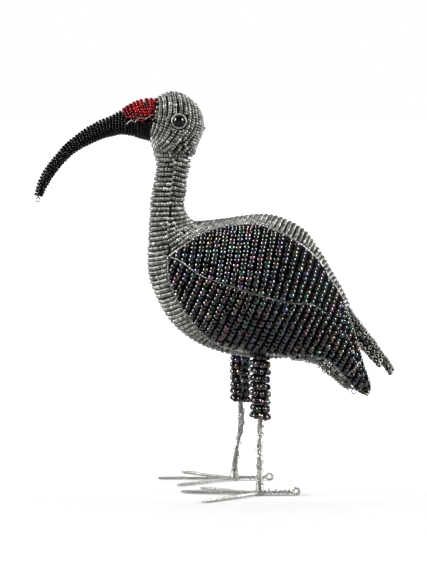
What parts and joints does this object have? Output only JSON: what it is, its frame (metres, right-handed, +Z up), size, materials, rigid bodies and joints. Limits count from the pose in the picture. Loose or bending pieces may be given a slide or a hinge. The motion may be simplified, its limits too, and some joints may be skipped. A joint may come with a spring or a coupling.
{
  "type": "beaded wire ibis figure",
  "caption": "Standing craft ibis of bent wire wound with glass beads: silver neck and body, dark iridescent wings and thighs, black down-curved bill with a red brow, bare wire legs and feet.",
  "frame": {"origin": "on the ground, at the middle of the whole bird's length and width", "axes": "+Z up, the bill points to -X, the bird's left side faces -Y"},
  "size_m": [0.2326, 0.0838, 0.2594],
  "materials": {
    "silver_beads": "gloss",
    "iridescent_beads": "gloss",
    "black_beads": "gloss",
    "red_beads": "gloss",
    "eye_glass": "gloss",
    "bare_wire": "satin"
  },
  "bodies": {
    "root": {"wing_left": "iridescent_beads", "wing_right": "iridescent_beads", "body": "silver_beads", "tail": "silver_beads", "eye_left": "eye_glass", "eye_right": "eye_glass", "eye_ring_left": "bare_wire", "eye_ring_right": "bare_wire", "head": "silver_beads", "bill": "black_beads", "brow_red": "red_beads", "thigh_left": "iridescent_beads", "shank_left": "bare_wire", "foot_left": "bare_wire", "thigh_right": "iridescent_beads", "shank_right": "bare_wire", "foot_right": "bare_wire", "bill_loop": "bare_wire", "wing_edge_left": "bare_wire", "wing_edge_right": "bare_wire"}
  },
  "joints": []
}
